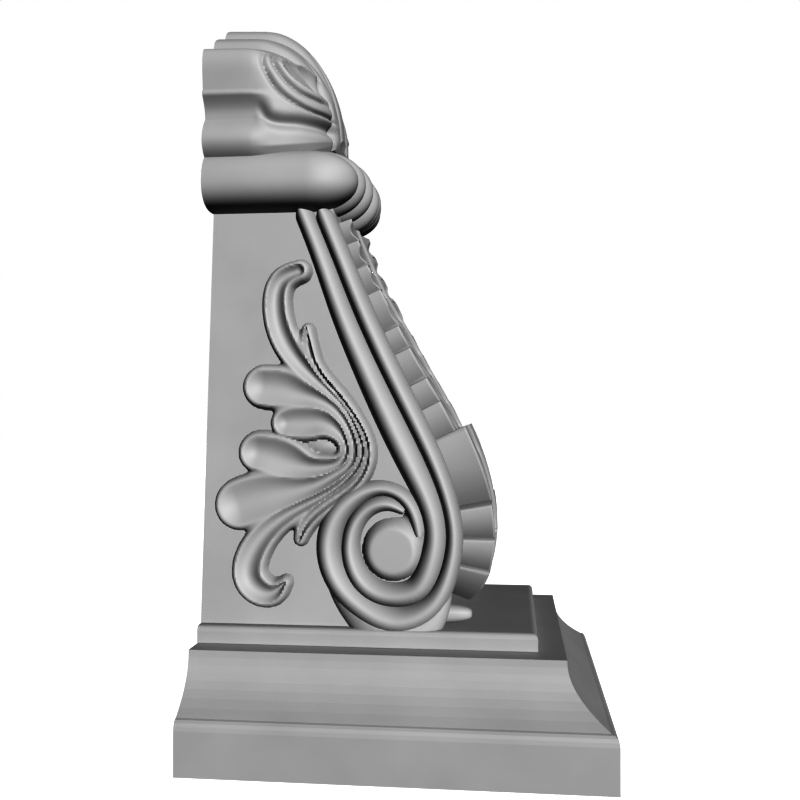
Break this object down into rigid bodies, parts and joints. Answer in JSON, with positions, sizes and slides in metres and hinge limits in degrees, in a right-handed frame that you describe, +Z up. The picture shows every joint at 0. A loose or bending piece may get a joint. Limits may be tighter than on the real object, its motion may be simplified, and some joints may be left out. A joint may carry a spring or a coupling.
{
  "type": "carved bracket",
  "caption": "Carved scroll bracket with acanthus leaves and a rolled collar, flat at the back, on a slab and a square moulded plinth; it stands or backs onto a wall under a shelf.",
  "frame": {"origin": "middle of the plinth's underside, in the plane it stands on", "axes": "+Z up, +X away from the wall towards the carved front, the flat back faces -X, and the bracket is the same on both sides of the XZ plane"},
  "size_m": [0.2, 0.2, 0.3768],
  "materials": {
    "carved_body": "carved hardwood with a smooth sprayed grey primer",
    "slab": "planed board with a smooth sprayed grey primer",
    "plinth": "moulded hardwood with a smooth sprayed grey primer"
  },
  "bodies": {
    "root": {"carved_body": "carved_body", "plinth_slab": "slab", "plinth": "plinth"}
  },
  "joints": []
}
